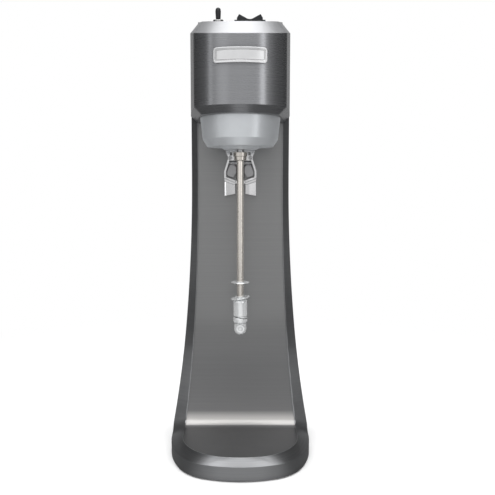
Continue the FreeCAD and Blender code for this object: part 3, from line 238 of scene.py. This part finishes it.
def make_lights():
    area_light("strip_left", around(-61, 1.5), MIDDLE, (0.15, 1.6), 0.7)
    area_light("broad_left", around(-37, 1.6), MIDDLE, (0.70, 1.6), 0.8)
    area_light("strip_right", around(45, 1.5), MIDDLE, (0.22, 1.6), 1.7)
    area_light("overhead", (0.0, -0.35, 1.75), (0.0, -0.05, 0.2), (1.6, 1.3), 17.0)


# ---------------------------------------------------------------------------------------------
# Materials


EDGE_RADIUS = 0.5 * MM
# Reach of the painted shade darkened into grooves and inner corners.
CREVICE_SHADE_REACH = 1.5 * MM
GRAIN = (5.0, 5.0, 1400.0)

# Painted reflections on the splash panel by height, as a share of PANEL_TOP: dark on its floor, a painted
# highlight of the overhead light at its bend, and the face above darker low down and lighter higher up.
PANEL_TOP = 200.0 * MM
PANEL_PAINTED_LIGHT = (
    (0.1295, (0.19, 0.19, 0.192)), (0.1315, (0.48, 0.47, 0.46)), (0.160, (0.47, 0.46, 0.45)),
    (0.20, (0.17, 0.17, 0.172)), (0.45, (0.22, 0.222, 0.225)), (0.80, (0.35, 0.352, 0.355)),
)


class Look(Graph):
    """A material built step by step."""

    def __init__(self, name):
        self.material = bpy.data.materials.new(name)
        self.material.use_nodes = True
        super().__init__(self.material.node_tree)
        self.shader = self.tree.nodes["Principled BSDF"]
        self.coords = self.node("TexCoord").outputs["Object"]

    def value(self, **sockets):
        for name, number in sockets.items():
            self.shader.inputs[name.replace("_", " ")].default_value = number

    def noise(self, scale, detail=3.0, rough=0.55):
        """Noise whose grain is stretched by a scale for each axis."""
        mapping = self.node("Mapping")
        mapping.inputs["Scale"].default_value = scale
        self.link(self.coords, mapping.inputs["Vector"])
        texture = self.node("TexNoise")
        texture.inputs["Scale"].default_value = 1.0
        texture.inputs["Detail"].default_value = detail
        texture.inputs["Roughness"].default_value = rough
        self.link(mapping.outputs[0], texture.inputs["Vector"])
        return texture.outputs["Fac"]

    def cloud(self, scale, detail=3.0):
        return self.noise((scale, scale, scale), detail)

    def blend_colour(self, factor, first, second):
        made = self.node("Mix", data_type="RGBA")
        self.link(factor, made.inputs["Factor"])
        made.inputs["A"].default_value = (*first, 1)
        made.inputs["B"].default_value = (*second, 1)
        return made.outputs["Result"]

    def multiplied(self, first, second):
        made = self.node("Mix", data_type="RGBA", blend_type="MULTIPLY")
        made.inputs["Factor"].default_value = 1.0
        self.link(first, made.inputs["A"])
        self.link(second, made.inputs["B"])
        return made.outputs["Result"]

    def colour(self, source):
        self.link(source, self.shader.inputs["Base Color"])

    def colour_by(self, factor, first, second):
        self.colour(self.blend_colour(factor, first, second))

    def paint_crevice_shade(self, reach):
        """Paints shade into grooves and inner corners: darkens the base colour where ambient occlusion finds
        nearby surfaces within a reach.
        """
        open_share = self.node("AmbientOcclusion", samples=4)
        open_share.inputs["Distance"].default_value = reach
        shade = self.blend_colour(open_share.outputs["AO"], (0.30, 0.30, 0.30), (1.0, 1.0, 1.0))
        self.colour(self.multiplied(self.shader.inputs["Base Color"].links[0].from_socket, shade))

    def rough_by(self, source):
        self.link(source, self.shader.inputs["Roughness"])

    def bump(self, source, strength, distance):
        """Relief from a value, on edges that are shaded as slightly rounded."""
        made = self.node("Bump")
        made.inputs["Strength"].default_value = strength
        made.inputs["Distance"].default_value = distance
        self.link(source, made.inputs["Height"])
        soft = self.node("Bevel", samples=4)
        soft.inputs["Radius"].default_value = EDGE_RADIUS
        self.link(soft.outputs[0], made.inputs["Normal"])
        self.link(made.outputs[0], self.shader.inputs["Normal"])

    def around_z(self):
        """Highlights stretched up and down, as by a grain that runs level round the piece."""
        tangent = self.node("Tangent", direction_type="RADIAL", axis="Z")
        self.link(tangent.outputs[0], self.shader.inputs["Tangent"])

    def along_x(self):
        """Highlights stretched up and down, as by a grain that runs straight across the piece."""
        across = self.node("CombineXYZ")
        across.inputs["X"].default_value = 1.0
        self.link(across.outputs[0], self.shader.inputs["Tangent"])


def brushed(name, dark, light, rough, metallic=0.9, crevice_shade_reach=None):
    look = Look(name)
    look.value(Metallic=metallic, Anisotropic=0.55, Anisotropic_Rotation=0.25)
    lines = look.noise(GRAIN, 6.0, 0.75)
    look.colour_by(look.spread(lines, 0.0, 1.0, 0.2, 0.8), dark, light)
    # Painted shade in grooves and inner corners, where a reach is given.
    if crevice_shade_reach:
        look.paint_crevice_shade(crevice_shade_reach)
    uneven = look.spread(look.cloud(9.0, 2.0), -0.02, 0.02)
    look.rough_by(look.calculate("ADD", look.spread(lines, rough - 0.03, rough + 0.03), uneven))
    look.bump(lines, 0.018, 0.00008)
    look.around_z()
    return look.material


def satin_panel():
    """The splash panel: grain straight across, with painted reflections by height that make it lighter at
    its bend than on its floor and above.
    """
    look = Look("satin_panel")
    look.value(Metallic=0.92, Anisotropic=0.55, Anisotropic_Rotation=0.25)
    lines = look.noise(GRAIN, 6.0, 0.75)
    split = look.node("SeparateXYZ")
    look.link(look.coords, split.inputs[0])
    # Painted reflections and highlight by height, from PANEL_PAINTED_LIGHT.
    tones = look.ramp(look.spread(split.outputs["Z"], 0.0, 1.0, 0.0, PANEL_TOP), PANEL_PAINTED_LIGHT)
    grain = look.spread(lines, 0.0, 1.0, 0.2, 0.8)
    shade = look.blend_colour(grain, (0.84, 0.84, 0.84), (1.0, 1.0, 1.0))
    look.colour(look.multiplied(tones, shade))
    look.rough_by(look.spread(look.noise((14.0, 14.0, 10.0)), 0.37, 0.43))
    look.bump(lines, 0.03, 0.00008)
    look.along_x()
    return look.material


def plated(name, colour, rough, metallic=1.0, scale=60.0, crevice_shade_reach=CREVICE_SHADE_REACH):
    look = Look(name)
    look.value(Metallic=metallic)
    cloud = look.cloud(scale)
    look.colour_by(look.spread(cloud, 0.0, 1.0), tuple(0.9 * c for c in colour), colour)
    # Painted shade in grooves and inner corners, by default on every plated piece.
    if crevice_shade_reach:
        look.paint_crevice_shade(crevice_shade_reach)
    look.rough_by(look.spread(cloud, max(0.02, rough - 0.03), rough + 0.03))
    look.bump(look.cloud(900.0, 2.0), 0.03, 0.00005)
    return look.material


def moulded(name, colour, rough):
    look = Look(name)
    look.value(Specular_IOR_Level=0.5)
    fine = look.cloud(1800.0)
    lighter = tuple(min(1.0, 1.25 * c + 0.004) for c in colour)
    look.colour_by(look.spread(look.cloud(40.0, 2.0), 0.0, 1.0), colour, lighter)
    look.rough_by(look.spread(fine, rough - 0.06, rough + 0.06))
    look.bump(fine, 0.25, 0.00006)
    return look.material


def laminated(name, colour):
    look = Look(name)
    look.value(Metallic=0.8)
    layers = look.noise((1.0, 1.0, 2600.0), 1.0)
    look.colour_by(look.spread(layers, 0.0, 1.0), tuple(0.5 * c for c in colour), colour)
    look.rough_by(look.spread(layers, 0.4, 0.6))
    look.bump(layers, 0.5, 0.0002)
    return look.material


def make_looks():
    # The stand and head get painted shade in their grooves and corners with a long reach; most plated pieces
    # get it with a short one.
    return {
        "grey_enamel": brushed(
            "gunmetal_stand", (0.29, 0.295, 0.305), (0.38, 0.385, 0.395), 0.33, metallic=0.96, crevice_shade_reach=7.0 * MM
        ),
        "brushed_head": brushed(
            "gunmetal_head", (0.31, 0.315, 0.33), (0.39, 0.395, 0.41), 0.28, metallic=0.95, crevice_shade_reach=9.0 * MM
        ),
        "roof_metal": brushed("roof_silver", (0.48, 0.485, 0.50), (0.55, 0.555, 0.57), 0.46, metallic=0.72),
        "satin_panel": satin_panel(),
        "badge_metal": plated("badge_silver", (0.84, 0.845, 0.855), 0.34, metallic=0.8),
        "zinc_plate": plated("zinc_plate", (0.55, 0.56, 0.57), 0.42, scale=200.0),
        "black_rubber": moulded("black_rubber", (0.018, 0.018, 0.018), 0.75),
        "bell_metal": plated("bell_silver", (0.80, 0.83, 0.86), 0.36, metallic=0.72, scale=25.0),
        "bearing_steel": plated("ground_steel", (0.60, 0.60, 0.61), 0.22),
        "core_steel": laminated("laminations", (0.20, 0.20, 0.21)),
        "copper_wire": plated("varnished_copper", (0.42, 0.16, 0.07), 0.35, metallic=0.7, scale=400.0),
        "copper_bars": plated("turned_copper", (0.70, 0.38, 0.24), 0.25),
        "brass_trim": plated("pressed_brass", (0.64, 0.50, 0.26), 0.30),
        "carbon": moulded("pressed_carbon", (0.03, 0.03, 0.03), 0.6),
        "spring_steel": plated("drawn_wire", (0.45, 0.45, 0.46), 0.3),
        "black_plastic": moulded("black_moulding", (0.02, 0.02, 0.021), 0.5),
        "collar_metal": plated("collar_nickel", (0.74, 0.70, 0.65), 0.16, metallic=0.85),
        "shaft_nickel": plated("warm_nickel", (0.94, 0.89, 0.83), 0.15, metallic=0.80, crevice_shade_reach=None),
        "agitator_chrome": plated("agitator_chrome", (0.96, 0.975, 0.985), 0.12, metallic=0.6),
        "toggle_nickel": plated("toggle_nickel", (0.5, 0.5, 0.5), 0.2),
        "black_switch": moulded("black_switch", (0.016, 0.017, 0.02), 0.34),
        "bracket_chrome": plated("bracket_chrome", (0.82, 0.82, 0.83), 0.12),
        "lever_plate": plated("lever_plate", (0.50, 0.50, 0.51), 0.38),
        "cream_plastic": moulded("cream_moulding", (0.55, 0.50, 0.40), 0.5),
        "board_green": moulded("lacquered_board", (0.06, 0.17, 0.09), 0.35),
        "screw_steel": plated("screw_zinc", (0.52, 0.52, 0.53), 0.28),
    }


def dress(looks):
    """Gives each CAD piece the look of its material slot."""
    for entry in frame["record"]["subparts"]:
        thing = NODES[entry["node"]]
        thing.data.materials.clear()
        thing.data.materials.append(looks[entry["material_slot"]])


# ---------------------------------------------------------------------------------------------
# Pieces

WELD = 1e-6
CREASE = math.radians(28.0)
BELL_CREASE = math.radians(13.0)
SMOOTHED = (
    "stand_casting", "splash_panel", "motor_housing", "top_cap", "lower_bearing_bell", "badge_plate",
    "cup_bracket", "cup_lever", "spindle_collar", "spindle_shaft", "toggle_lever", "rocker_paddle",
    "rocker_housing",
)


def smoothed(node, slot, looks):
    """A skin over a CAD piece whose normals run on across joined faces and break at its real edges."""
    source = NODES[node]
    mesh = source.data.copy()
    mesh.name = node + "_skin"
    work = bmesh.new()
    work.from_mesh(mesh)
    bmesh.ops.remove_doubles(work, verts=work.verts, dist=WELD)
    for face in work.faces:
        face.smooth = True
    crease = BELL_CREASE if node == "lower_bearing_bell" else CREASE
    for edge in work.edges:
        edge.smooth = len(edge.link_faces) == 2 and edge.calc_face_angle(0.0) < crease
    work.to_mesh(mesh)
    work.free()
    if "custom_normal" in mesh.attributes:
        mesh.attributes.remove(mesh.attributes["custom_normal"])
    mesh.materials.clear()
    mesh.materials.append(looks[slot])
    skin = bpy.data.objects.new(node + "_skin", mesh)
    bpy.context.scene.collection.objects.link(skin)
    skin.matrix_world = source.matrix_world
    weights = skin.modifiers.new("even_normals", "WEIGHTED_NORMAL")
    weights.keep_sharp = True
    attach(skin, body_of(source)[0])
    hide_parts(node)


def cover(looks):
    """Puts the skins over the pieces that show most."""
    for entry in frame["record"]["subparts"]:
        if entry["node"] in SMOOTHED:
            smoothed(entry["node"], entry["material_slot"], looks)


bpy.context.scene.view_settings.view_transform = "Standard"
make_camera()
make_floor()
make_world()
make_lights()
LOOKS = make_looks()
dress(LOOKS)
cover(LOOKS)
